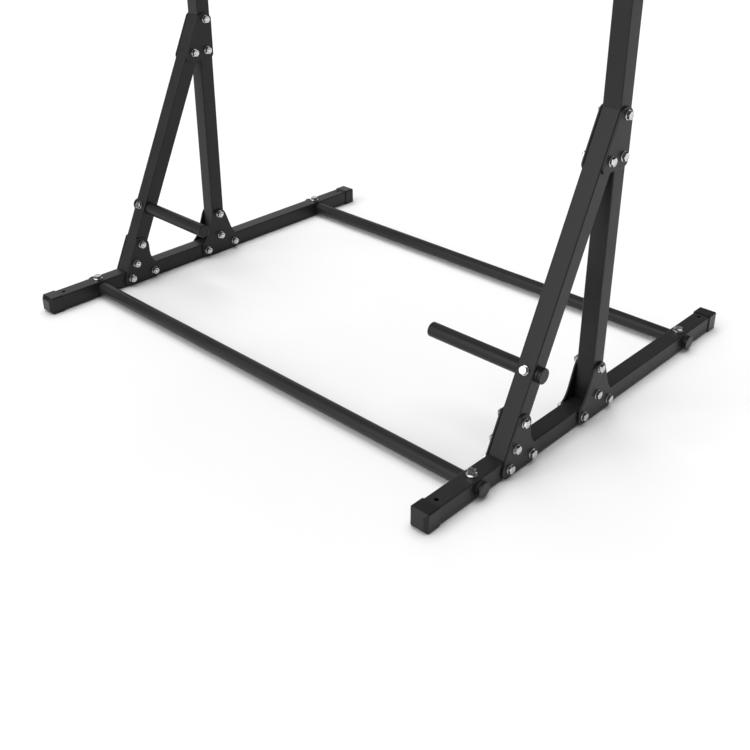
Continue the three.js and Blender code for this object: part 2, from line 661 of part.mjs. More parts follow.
// A lobed hand knob and its clamping screw, along +Y, with the screw's tip at the local origin.
function heightKnob() {
  const lobes = 5;
  const [meanRadius, lobeHeight] = [22, 2.5];
  const [headStart, headDepth, edge] = [25, 14, 3];
  const grip = new THREE.Shape();
  const steps = lobes * 4;
  for (let i = 0; i < steps; i += 1) {
    const angle = 2 * Math.PI * i / steps;
    const r = meanRadius + lobeHeight * Math.cos(lobes * angle);
    if (i === 0) grip.moveTo(r, 0);
    else grip.lineTo(r * Math.cos(angle), r * Math.sin(angle));
  }
  grip.closePath();
  const head = along('y', new THREE.ExtrudeGeometry(grip, {
    depth: headDepth, bevelThickness: edge, bevelSize: edge, bevelOffset: -edge, bevelSegments: 1,
  })).translate(0, headStart, 0);
  const neckEnd = headStart - 1;
  const neck = turned('y', [[0, 13], [10, 13], [12, neckEnd], [0, neckEnd]]);
  const screw = rod('y', M12.shank, neckEnd).translate(0, neckEnd / 2, 0);
  return join(head, neck, screw);
}

for (const side of sides) {
  const x = side.sign * STANCE / 2;
  const stop = part(`height_stop_bolt_${side.name}`, bolt(M10, TUBE + 14, TUBE + 2 * GAP), zinc,
    x + side.sign * (TUBE / 2 + GAP), 0, STOP_Z);
  stop.rotation.y = side.sign * Math.PI / 2;
  tower.add(stop);
  tower.add(part(`height_knob_${side.name}`, heightKnob(), blackPlastic,
    x, UPPER_POST / 2 + GAP, KNOB_Z));
}

export default tower;
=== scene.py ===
"""The looks of the power tower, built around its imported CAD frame.

Forms are drawn in millimetres in the row frame (+Z up, -Y towards the user of the dip station, the
origin on the floor in the middle of the base) and become pieces in metres.
"""

import math
import random

import bmesh
import bpy
from mathutils import Matrix, Vector
from mathutils.bvhtree import BVHTree


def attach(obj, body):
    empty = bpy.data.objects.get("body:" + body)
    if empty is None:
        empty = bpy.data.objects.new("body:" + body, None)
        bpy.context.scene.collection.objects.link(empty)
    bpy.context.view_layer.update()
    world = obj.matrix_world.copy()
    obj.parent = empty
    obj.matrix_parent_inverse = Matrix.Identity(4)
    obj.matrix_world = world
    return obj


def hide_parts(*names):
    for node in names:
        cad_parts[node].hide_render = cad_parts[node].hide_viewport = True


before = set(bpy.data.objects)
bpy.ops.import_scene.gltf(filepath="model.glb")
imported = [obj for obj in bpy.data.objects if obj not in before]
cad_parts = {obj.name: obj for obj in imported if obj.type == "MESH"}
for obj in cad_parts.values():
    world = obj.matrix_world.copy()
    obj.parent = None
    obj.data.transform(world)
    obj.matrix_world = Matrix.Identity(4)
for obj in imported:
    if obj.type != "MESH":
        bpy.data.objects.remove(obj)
random.seed(7)
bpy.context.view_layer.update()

MM = 0.001
# Each side's name with the sign of its X, and each end's with the sign of its Y.
SIDES = (("left", -1), ("right", 1))
ENDS = (("front", -1), ("rear", 1))

# ---------- sizes that the looks share with the CAD frame ----------

# The space left between touching pieces.
GAP = 0.3
# The square tube, and the radius of every round bar.
TUBE = 40
HALF = TUBE / 2
WALL = 2
BAR_R = 16
# From the middle to a side frame's middle plane, and to the runners' capped ends.
STANCE_HALF = 624.5
BASE_HALF = 546
# The runners' end caps. Their walls lift the steel off the floor.
CAP_WALL = 1.8
CAP_LENGTH = 38
CAP_CHAMFER = 7
CAP_FLOOR = 9
RUNNER_Z = CAP_WALL + GAP + HALF
RUNNER_TOP = RUNNER_Z + HALF
RUNNER_HOLE_Y = 493
RUNNER_HOLE_R = 4.5
CROSSBAR_Y = 390.5
# How far a round bar's end stands out of the tube that it goes through.
BAR_END_OUT = 6
# Where the brace's front face meets the runner's top, and the post.
BRACE_FOOT = 316
BRACE_HEAD = 673
HANDLE_Z = 196.4
HANDLE_REACH = 226
# The gussets' plates and bolts. Pitches are along the brace's middle line, spans along the runner.
PLATE = 4
FRONT_PITCHES = (0, 41, 94.5)
FRONT_SPAN = 72.5
FRONT_DOME = 84
REAR_SPAN = 48
REAR_HEIGHTS = (118, 54)
UPPER_HEIGHTS = (659, 579)
# The posts, the upper posts inside them, and what stops and clamps these.
POST_TOP = 1480
UPPER_HALF = 17.5
UPPER_TOP = 2080
STOP_Z = 1190
STOP_HOLES = [1250, 1310, 1370]
STOP_HOLE_R = 5.5
KNOB_Z = 1440
BOSS_BORE_R = 6.4
# The dip station's beam, its end plates and the things bolted to it.
BEAM_Z = 1105
BEAM_BOLTS = [1065, 1145]
END_PLATE = 5
END_PLATE_TALL = 120
END_PLATE_WIDE = 50
ARM_X = 270
ARM_LENGTH = 490
ARM_BOLT_OUT = 30
SHELF = (60, 180, 8, 4)
SHELF_OUT = 160
MAST_Y = -TUBE - GAP
MAST_Z = (1060, 1500)
MAST_BOLT_OUT = 10
# The bent pull-up bar: its corner, how early the bend starts, and its flanges on the upper posts.
BAR_CORNER = (430, 170, 2075)
BAR_BEND = 70
FLANGE_Z = 2005
FLANGE_TALL = 100
FLANGE_BOLT_OUT = 32
FOAM_X = 250
FOAM_HALF = 70
# The pads: width, depth, thickness and corner radius, and how far the stuffing may move the cover.
BACK_PAD = (280, 420, 52, 30)
BACK_PAD_Z = 1345
BACK_PAD_SWELL = 9
BACK_PAD_CHANNELS = ((1, -85), (1, 85))
ARM_PAD = (100, 250, 42, 14)
ARM_PAD_BACK = 190
ARM_PAD_SWELL = 7
PAD_BOARD = 9.0
# Hex bolts by size: shank, head and washer diameters across, and each part's height.
M8 = {"shank": 8, "head": 13, "height": 5.3, "washer": 16, "thick": 1.6, "nut": 6.5}
M10 = {"shank": 10, "head": 16, "height": 6.4, "washer": 20, "thick": 2, "nut": 8}
M12 = {"shank": 12, "head": 18, "height": 7.5, "washer": 24, "thick": 2.5, "nut": 10}

# ---------- forms: (vertices, faces) in millimetres ----------


def circle(radius, height=0.0, sides=48):
    """A ring of points round Z, anticlockwise."""
    step = 2 * math.pi / sides
    return [
        Vector((radius * math.cos(i * step), radius * math.sin(i * step), height))
        for i in range(sides)
    ]


def rounded(width, depth, radius, height=0.0, steps=6):
    """A rounded rectangle, anticlockwise in X and Y."""
    points = []
    for quarter, (sx, sy) in enumerate(((1, 1), (-1, 1), (-1, -1), (1, -1))):
        cx, cy = sx * (width / 2 - radius), sy * (depth / 2 - radius)
        for i in range(steps + 1):
            turn = (quarter + i / steps) * math.pi / 2
            points.append(Vector((cx + radius * math.cos(turn), cy + radius * math.sin(turn), height)))
    return points


def loft(rings, closed=False):
    """Quads between rings of equal length; the ends are capped unless the last ring meets the first."""
    n = len(rings[0])
    faces = []
    for a in range(len(rings) - (0 if closed else 1)):
        b = (a + 1) % len(rings)
        for i in range(n):
            j = (i + 1) % n
            faces.append((a * n + i, a * n + j, b * n + j, b * n + i))
    if not closed:
        faces.append(tuple(reversed(range(n))))
        faces.append(tuple(range((len(rings) - 1) * n, len(rings) * n)))
    return [p for ring in rings for p in ring], faces


def turned(profile, sides=48, closed=False):
    """A profile of (radius, height) turned about Z."""
    return loft([circle(r, h, sides) for r, h in profile], closed)


def slab(outline, thickness):
    """A flat outline in X and Y as a plate centred on z = 0."""
    low = [Vector((x, y, -thickness / 2)) for x, y in outline]
    return loft([low, [p + Vector((0, 0, thickness)) for p in low]])


def curved(start, middle, end, steps):
    """Points along a curve that leaves the start and reaches the end in line with the middle point."""
    made = []
    for i in range(steps + 1):
        t = i / steps
        made.append((1 - t) ** 2 * start + 2 * t * (1 - t) * middle + t * t * end)
    return made


def filleted(corners, radius, steps=4):
    """A closed outline with each corner rounded by a curve that starts a radius before it."""
    points = []
    for i, corner in enumerate(corners):
        here = Vector(corner)
        legs = []
        for other in (corners[i - 1], corners[(i + 1) % len(corners)]):
            leg = Vector(other) - here
            legs.append(here + leg.normalized() * min(radius, leg.length * 0.45))
        points += [tuple(p) for p in curved(legs[0], here, legs[1], steps)]
    return points


def on_plane(point, direction, plane):
    """Where the line through point along direction meets the plane (point, normal)."""
    at, normal = Vector(plane[0]), Vector(plane[1])
    return point + direction * ((at - point).dot(normal) / direction.dot(normal))


def cut_tube(outer, inner, at, direction, start, end):
    """A tube of two sections along direction, each end cut to a plane (point, normal)."""
    across = Vector((1, 0, 0)) if abs(direction.x) < 0.5 else Vector((0, 1, 0))
    basis = Matrix((across, direction.cross(across), direction)).transposed()
    placed = [[basis @ p + at for p in ring] for ring in (outer, inner)]
    rings = [
        [on_plane(p, direction, start) for p in placed[0]],
        [on_plane(p, direction, end) for p in placed[0]],
        [on_plane(p, direction, end) for p in placed[1]],
        [on_plane(p, direction, start) for p in placed[1]],
    ]
    return loft(rings, closed=True)


def square_tube(at, direction, start, end, size=TUBE):
    """The frame's square tube with its rounded corners, cut to a plane at each end."""
    outer = rounded(size, size, 3)
    inner = rounded(size - 2 * WALL, size - 2 * WALL, 1.5)
    return cut_tube(outer, inner, Vector(at), Vector(direction), start, end)


def upright_tube(x, y, low, high, size=TUBE):
    """A square tube that stands between two heights."""
    along = (0, 0, 1)
    return square_tube((x, y, low), along, ((0, 0, low), along), ((0, 0, high), along), size)


def round_tube(length):
    """A round bar's tube along Z, centred on the origin, with its outer edges eased."""
    h, ease = length / 2, 0.4
    profile = [
        (BAR_R - WALL, -h), (BAR_R - ease, -h), (BAR_R, -h + ease),
        (BAR_R, h - ease), (BAR_R - ease, h), (BAR_R - WALL, h),
    ]
    return turned(profile, 64, closed=True)


def frames_along(points, closed=False):
    """A pair of unit vectors square to the path at each point, turning as little as they can."""
    n = len(points)
    found, side = [], None
    for i, p in enumerate(points):
        before = points[i - 1] if i or closed else p
        after = points[(i + 1) % n] if i < n - 1 or closed else p
        tangent = (after - before).normalized()
        if side is None:
            helper = Vector((0, 0, 1)) if abs(tangent.z) < 0.9 else Vector((1, 0, 0))
            side = tangent.cross(helper).normalized()
        side = (side - tangent * side.dot(tangent)).normalized()
        found.append((side, tangent.cross(side)))
    return found


def swept(points, radius, sides=12, closed=False):
    """A round section along a path; the radius is a number or one for each point."""
    radii = [radius] * len(points) if isinstance(radius, (int, float)) else radius
    rings = []
    for p, r, (u, v) in zip(points, radii, frames_along(points, closed)):
        rings.append([p + u * c.x * r + v * c.y * r for c in circle(1, 0, sides)])
    return loft(rings, closed)


def resampled(points, spacing, closed=True):
    """Points a fixed distance apart along a path."""
    ring = points + [points[0]] if closed else points
    lengths = [(b - a).length for a, b in zip(ring, ring[1:])]
    count = max(4, round(sum(lengths) / spacing))
    made, i, past = [], 0, 0.0
    for k in range(count + (0 if closed else 1)):
        want = sum(lengths) * k / count
        while i < len(lengths) - 1 and past + lengths[i] < want:
            past += lengths[i]
            i += 1
        share = (want - past) / max(lengths[i], 1e-9)
        made.append(ring[i].lerp(ring[i + 1], min(1.0, share)))
    return made


def bead(points, radius=2.4, closed=True):
    """A weld bead: a round section whose size ripples along the path, a little unevenly."""
    spacing, ripple, turn, uneven = 0.9, 0.13, 1.9, 0.05
    path = resampled(points, spacing, closed)
    radii = [radius * (1 + ripple * math.sin(i * turn) + random.uniform(-uneven, uneven))
             for i in range(len(path))]
    return swept(path, radii, 8, closed)


def hexagon(across, height, chamfered=("top",)):
    """A hexagonal head standing on z = 0, its corners cut back by a cone at the chamfered ends."""
    sides, apothem = 48, across / 2
    flat = apothem * 0.95
    slope = math.tan(math.radians(30))
    # How far the hexagon reaches in each direction.
    reach = []
    for i in range(sides):
        turn = (2 * math.pi * i / sides) % (math.pi / 3) - math.pi / 6
        reach.append(apothem / math.cos(turn))

    def ring(height_of, radius_of):
        return [
            Vector((radius_of(r) * c.x, radius_of(r) * c.y, height_of(r)))
            for c, r in zip(circle(1, 0, sides), reach)
        ]

    def lost(r):
        return (r - flat) * slope

    rings = []
    if "bottom" in chamfered:
        rings += [ring(lambda r: 0, lambda r: flat), ring(lost, lambda r: r)]
    else:
        rings += [ring(lambda r: 0, lambda r: r)]
    rings += [
        ring(lambda r: height - lost(r), lambda r: r),
        ring(lambda r: height, lambda r: flat),
    ]
    if chamfered == ("top",):
        # A bolt's head has a shallow dish; a nut, chamfered at both ends, has none.
        rings += [
            ring(lambda r: height, lambda r: flat * 0.72),
            ring(lambda r: height - 0.35, lambda r: flat * 0.66),
        ]
    return loft(rings)


def washer_form(size):
    """A washer standing on z = 0, its outer edges eased."""
    inner, outer, t = size["shank"] / 2, size["washer"] / 2, size["thick"]
    ease = 0.35
    profile = [
        (inner, 0), (outer - ease, 0), (outer, ease), (outer, t - ease), (outer - ease, t), (inner, t),
    ]
    return turned(profile, 40, True)


def threaded_end(size, length):
    """A bolt's end along +Z from z = 0: shallow thread ridges and a chamfered tip."""
    r, pitch = size["shank"] / 2, 1.6
    root = r * 0.9
    profile = [(root, 0)]
    turns = int((length - 1) / pitch)
    for i in range(turns):
        profile += [(r, (i + 0.5) * pitch), (root, (i + 1) * pitch)]
    profile += [(r * 0.97, turns * pitch + 0.3), (r * 0.8, length)]
    return turned(profile, 24)


# ---------- from forms to pieces ----------


class Shape:
    """Closed forms gathered into one piece."""

    def __init__(self):
        self.verts, self.faces = [], []

    def add(self, form, at=None):
        at = at or Matrix()
        start = len(self.verts)
        self.verts += [at @ Vector(v) for v in form[0]]
        self.faces += [[start + i for i in face] for face in form[1]]
        return self

    def mesh(self, name):
        mesh = bpy.data.meshes.new(name)
        mesh.from_pydata([v * MM for v in self.verts], [], self.faces)
        bm = bmesh.new()
        bm.from_mesh(mesh)
        bmesh.ops.recalc_face_normals(bm, faces=bm.faces)
        bm.to_mesh(mesh)
        bm.free()
        return mesh

    def object(self, name):
        made = bpy.data.objects.new(name, self.mesh(name))
        bpy.context.scene.collection.objects.link(made)
        return made


def applied(piece):
    """The piece with its modifiers made permanent."""
    graph = bpy.context.evaluated_depsgraph_get()
    mesh = bpy.data.meshes.new_from_object(piece.evaluated_get(graph))
    piece.modifiers.clear()
    piece.data = mesh
    return piece


def drilled(piece, cutters):
    """The piece with the cutters' forms taken out of it."""
    tool = cutters.object("cutter")
    cutting = piece.modifiers.new("drill", "BOOLEAN")
    cutting.operation, cutting.solver, cutting.object = "DIFFERENCE", "EXACT", tool
    applied(piece)
    bpy.data.objects.remove(tool)
    return piece


def finished(piece, finish, body="frame", node="", ease=0.0, crease=32):
    """Shading, eased edges, material, body and the CAD node that the piece stands for."""
    for face in piece.data.polygons:
        face.use_smooth = True
    if ease:
        bevel = piece.modifiers.new("ease", "BEVEL")
        bevel.width, bevel.segments = ease * MM, 2
        bevel.limit_method, bevel.angle_limit = "ANGLE", math.radians(crease)
    else:
        piece.data.set_sharp_from_angle(angle=math.radians(crease))
    weighted = piece.modifiers.new("even", "WEIGHTED_NORMAL")
    weighted.keep_sharp = True
    material, slot = finish
    piece.data.materials.clear()
    piece.data.materials.append(material)
    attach(piece, body)
    if node:
        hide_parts(node)
    return piece


def place(x, y, z, axis="z"):
    """A matrix that lays +Z along the named signed axis and moves it."""
    ways = {
        "x": (0, 1, 0, 90), "-x": (0, 1, 0, -90),
        "y": (1, 0, 0, -90), "-y": (1, 0, 0, 90), "z": (1, 0, 0, 0), "-z": (1, 0, 0, 180),
    }
    ax, ay, az, degrees = ways[axis]
    laid = Matrix.Rotation(math.radians(degrees), 4, (ax, ay, az))
    return Matrix.Translation((x, y, z)) @ laid


def outward(sign):
    """The axis that points away from the middle plane on the side of this sign."""
    return "x" if sign > 0 else "-x"


def lifted(height):
    """A move along +Z."""
    return Matrix.Translation((0, 0, height))


def bolted(shape, at, size, grip=0.0, tail=3.5):
    """A washer and a hex head on the plane of `at`, and behind the grip a washer, a nut and the end."""
    thick, shank_r = size["thick"], size["shank"] / 2 - 0.2
    spin = Matrix.Rotation(random.uniform(0, math.pi / 3), 4, "Z")
    shape.add(washer_form(size), at)
    shape.add(hexagon(size["head"], size["height"]), at @ lifted(thick) @ spin)
    if grip:
        back = at @ lifted(-grip) @ Matrix.Rotation(math.pi, 4, "X")
        spin = Matrix.Rotation(random.uniform(0, math.pi / 3), 4, "Z")
        shape.add(washer_form(size), back)
        shape.add(hexagon(size["head"], size["nut"], ("top", "bottom")), back @ lifted(thick) @ spin)
        shape.add(threaded_end(size, tail), back @ lifted(thick + size["nut"]))
        shape.add(turned([(shank_r, -grip - 1), (shank_r, 1)], 16), at)
    return shape


# ---------- materials ----------


def surface(name, colour, spread, roughness, grain, metallic=0.0, specular=0.5):
    """A procedural finish: the colour drifts by spread, the roughness between two values, and a bump of
    (grain per metre, depth in millimetres, strength) textures it."""
    made = bpy.data.materials.new(name)
    made.use_nodes = True
    nodes, links = made.node_tree.nodes, made.node_tree.links
    shader = nodes["Principled BSDF"]
    shader.inputs["Metallic"].default_value = metallic
    shader.inputs["Specular IOR Level"].default_value = specular
    where = nodes.new("ShaderNodeTexCoord").outputs["Object"]

    def noise(scale, detail):
        node = nodes.new("ShaderNodeTexNoise")
        node.inputs["Scale"].default_value = scale
        node.inputs["Detail"].default_value = detail
        links.new(where, node.inputs["Vector"])
        return node.outputs["Fac"]

    # Half of the variation is a slow drift over the piece, and half a mottle coarser than the grain.
    grain_scale, grain_depth, grain_strength = grain
    drift = noise(9, 4)
    mottle = noise(grain_scale * 0.35, 3)
    mixed = nodes.new("ShaderNodeMath")
    mixed.operation = "MULTIPLY_ADD"
    mixed.inputs[1].default_value = 0.5
    links.new(mottle, mixed.inputs[0])
    half = nodes.new("ShaderNodeMath")
    half.operation = "MULTIPLY"
    half.inputs[1].default_value = 0.5
    links.new(drift, half.inputs[0])
    links.new(half.outputs[0], mixed.inputs[2])
    ramp = nodes.new("ShaderNodeValToRGB")
    # Noise rarely leaves this range.
    low, high = 0.3, 0.7
    ramp.color_ramp.elements[0].position = low
    ramp.color_ramp.elements[1].position = high
    for element, share in zip(ramp.color_ramp.elements, (1 - spread, 1 + spread)):
        element.color = (*[c * share for c in colour], 1)
    links.new(mixed.outputs[0], ramp.inputs["Fac"])
    links.new(ramp.outputs["Color"], shader.inputs["Base Color"])
    sheen = nodes.new("ShaderNodeMapRange")
    sheen.inputs["From Min"].default_value = low
    sheen.inputs["From Max"].default_value = high
    sheen.inputs["To Min"].default_value = roughness[0]
    sheen.inputs["To Max"].default_value = roughness[1]
    links.new(mixed.outputs[0], sheen.inputs["Value"])
    links.new(sheen.outputs["Result"], shader.inputs["Roughness"])
    bump = nodes.new("ShaderNodeBump")
    bump.inputs["Distance"].default_value = grain_depth * MM
    bump.inputs["Strength"].default_value = grain_strength
    links.new(noise(grain_scale, 2), bump.inputs["Height"])
    links.new(bump.outputs["Normal"], shader.inputs["Normal"])
    return made


def pebbled(name, colour, roughness, cell, depth):
    """Upholstery vinyl: a leather-like pebble of cells with fine creases between them. The cells' size
    and the creases' depth are in millimetres."""
    made = surface(name, colour, 0.12, roughness, (700, 0.1, 0.2))
    nodes, links = made.node_tree.nodes, made.node_tree.links
    cells = nodes.new("ShaderNodeTexVoronoi")
    cells.feature = "DISTANCE_TO_EDGE"
    cells.inputs["Scale"].default_value = 1 / (cell * MM)
    links.new(nodes["Texture Coordinate"].outputs["Object"], cells.inputs["Vector"])
    crease = nodes.new("ShaderNodeMapRange")
    crease.interpolation_type = "SMOOTHSTEP"
    crease.inputs["From Max"].default_value = 0.22
    links.new(cells.outputs["Distance"], crease.inputs["Value"])
    bump = nodes.new("ShaderNodeBump")
    bump.inputs["Distance"].default_value = depth * MM
    bump.inputs["Strength"].default_value = 0.55
    links.new(crease.outputs["Result"], bump.inputs["Height"])
    links.new(nodes["Bump"].outputs["Normal"], bump.inputs["Normal"])
    links.new(bump.outputs["Normal"], nodes["Principled BSDF"].inputs["Normal"])
    return made


# Each finish is a material and the slot of the record that it belongs to.
COAT = (
    surface("powder_coat", (0.0150, 0.0150, 0.0153), 0.3, (0.32, 0.48), (1100, 0.12, 0.45), specular=0.28),
    "frame_coat",
)
PLASTIC = (
    surface("cap_plastic", (0.0085, 0.0085, 0.0088), 0.08, (0.27, 0.35), (2500, 0.05, 0.25), specular=0.29),
    "cap_plastic",
)
ZINC = (
    surface("zinc_plate", (0.62, 0.62, 0.635), 0.10, (0.13, 0.22), (900, 0.05, 0.2), metallic=1.0),
    "zinc_fastener",
)
RUBBER = (
    surface("grip_rubber", (0.013, 0.013, 0.013), 0.12, (0.62, 0.78), (1100, 0.15, 0.4)),
    "grip_rubber",
)
FOAM = (
    surface("grip_foam", (0.017, 0.017, 0.017), 0.18, (0.82, 0.95), (900, 0.35, 0.8), specular=0.3),
    "grip_foam",
)
VINYL = (
    pebbled("pad_vinyl", (0.019, 0.019, 0.020), (0.36, 0.48), 1.7, 0.14),
    "pad_vinyl",
)
PIPING = (
    surface("pad_piping", (0.015, 0.015, 0.016), 0.08, (0.34, 0.44), (1200, 0.08, 0.3)),
    "pad_vinyl",
)
THREAD = (
    surface("pad_thread", (0.06, 0.06, 0.062), 0.15, (0.6, 0.75), (3000, 0.08, 0.5)),
    "pad_vinyl",
)

# ---------- the brace's line and the bolts on the side frames ----------

# Places on a side frame are (Y, Z). The brace leans back by `lean` and runs along `up`.
lean = math.atan((BRACE_FOOT - HALF) / (BRACE_HEAD - RUNNER_TOP))
up = Vector((math.sin(lean), math.cos(lean)))


def brace_y(z, inwards=0.0):
    """Where the line that far inside the brace's front face passes a height."""
    return -BRACE_FOOT + (z - RUNNER_TOP) * math.tan(lean) + inwards / math.cos(lean)


brace_start = Vector((brace_y(RUNNER_Z, HALF), RUNNER_Z))


def on_brace(distance):
    """A place on the brace's middle line."""
    return tuple(brace_start + up * distance)


def on_brace_at(z):
    return on_brace((z - RUNNER_Z) / up.y)


front_bolts = [*[on_brace(pitch) for pitch in FRONT_PITCHES], (brace_start.x + FRONT_SPAN, RUNNER_Z)]
rear_bolts = [*[(0, z) for z in REAR_HEIGHTS], (REAR_SPAN, RUNNER_Z), (-REAR_SPAN, RUNNER_Z)]
upper_bolts = [*[(0, z) for z in UPPER_HEIGHTS], on_brace_at(UPPER_HEIGHTS[1])]
handle_y, handle_z = on_brace_at(HANDLE_Z)

# ---------- gusset outlines, in Y and Z ----------

# A foot's rounding, its reach past its last bolt, and the height and turn where its shoulder starts.
FOOT_ROUND = 17
FOOT_REACH = 16
FOOT_SHOULDER = 30
SHOULDER = math.radians(50)
plate_foot = RUNNER_Z - HALF + FOOT_ROUND


def arc(cy, cz, radius, start, end, steps=12):
    """Points on a circle round (cy, cz), from one angle to another."""
    return [
        (cy + radius * math.cos(start + (end - start) * i / steps),
         cz + radius * math.sin(start + (end - start) * i / steps))
        for i in range(steps + 1)
    ]


def foot_end(bolt_y, edge_y, edge_z, slant):
    """The rear end of a gusset's foot, from the top of its edge down to the runner's bottom."""
    y = bolt_y + FOOT_REACH - FOOT_ROUND
    shoulder = arc(y, FOOT_SHOULDER, FOOT_ROUND, SHOULDER, 0)
    start = Vector(shoulder[0])
    tangent = Vector((math.sin(SHOULDER), -math.cos(SHOULDER)))
    edge = Vector((math.sin(slant), -math.cos(slant)))
    top = Vector((edge_y, edge_z))
    gap = start - top
    run = (gap.x * tangent.y - gap.y * tangent.x) / (edge.x * tangent.y - edge.y * tangent.x)
    sweep = [tuple(p) for p in curved(top, top + edge * run, start, 10)]
    return [*sweep, *shoulder[1:], *arc(y, plate_foot, FOOT_ROUND, 0, -math.pi / 2)]


def front_gusset():
    """A dome round the brace's highest bolt here, a foot behind and a toe along the brace's front."""
    cy, cz = on_brace(FRONT_DOME)
    radius, edge_drop = 28, 8
    lip = math.acos(HALF / radius)
    dome = arc(cy, cz, radius, math.pi - lean - lip, 0, 24)
    foot = foot_end(front_bolts[-1][0], cy + radius, cz - edge_drop, 0)
    toe = arc(brace_y(plate_foot, FOOT_ROUND), plate_foot, FOOT_ROUND, -math.pi / 2, -math.pi - lean)
    return [*dome, *foot, *toe]


def rear_gusset():
    """A dome on the post and a foot on either side of it, the same to the front as to the rear."""
    slant = math.radians(20)
    edge_y, edge_z = 39.5, 69.7
    dome = arc(0, 105, 25, math.pi / 2, slant)
    half = [*dome, *foot_end(REAR_SPAN, edge_y, edge_z, slant)]
    return [*half, *[(-y, z) for y, z in reversed(half[1:])]]


def upper_gusset():
    """A dome over the brace's head, and a flat bottom with rounded corners."""
    cy, cz, radius, corner = -4, 648.5, 26.5, 13
    bottom = 556 + corner
    back_lip = math.acos((HALF - cy) / radius)
    front_lip = math.acos((cy - brace_y(cz)) * math.cos(lean) / radius)
    return [
        *arc(cy, cz, radius, math.pi - lean - front_lip, back_lip, 24),
        *arc(HALF - corner, bottom, corner, 0, -math.pi / 2),
        *arc(brace_y(bottom, corner), bottom, corner, -math.pi / 2, -math.pi - lean),
    ]


# An outline in Y and Z stands up with its thickness along X.
UPRIGHT = Matrix(((0, 0, 1, 0), (1, 0, 0, 0), (0, 1, 0, 0), (0, 0, 0, 1)))

# ---------- side frames ----------


def runner_cap():
    """A cap along +Z from its closed end, which is chamfered all round. Its open end flares inside the
    rim, which leaves a groove round the tube."""
    width = TUBE + 2 * (GAP + CAP_WALL)
    socket = TUBE + 0.2
    face = width - 2 * CAP_CHAMFER
    mouth, flare = width - 1.6, 4
    return loft([
        rounded(face, face, 2.4, 0),
        rounded(width, width, 3.2, CAP_CHAMFER),
        rounded(width, width, 3.2, CAP_LENGTH),
        rounded(mouth, mouth, 2.4, CAP_LENGTH),
        rounded(socket, socket, 3, CAP_LENGTH - flare),
        rounded(socket, socket, 3, CAP_FLOOR),
    ])


def round_cap(height):
    """A cap's stem, its narrow neck and its disc, along +Z from the bar's end."""
    return turned([
        (13.6, -14), (13.6, -0.2), (14.6, -0.2), (14.6, 1.1), (15.9, 1.1), (16.6, 1.8),
        (16.6, height - 1.3), (16.2, height - 0.5), (15.3, height), (13.5, height),
    ], 56)


def flush_plug():
    """A plug whose rounded rim closes a bar's end, with a shallow dish inside the rim."""
    return turned([
        (13.6, -18), (13.6, 0.1), (15.9, 0.1), (16.0, 0.5), (15.6, 1.3), (14.6, 1.9), (13.2, 2.0),
        (12.6, 1.9), (12.0, 1.3), (6.0, 1.1),
    ], 56)


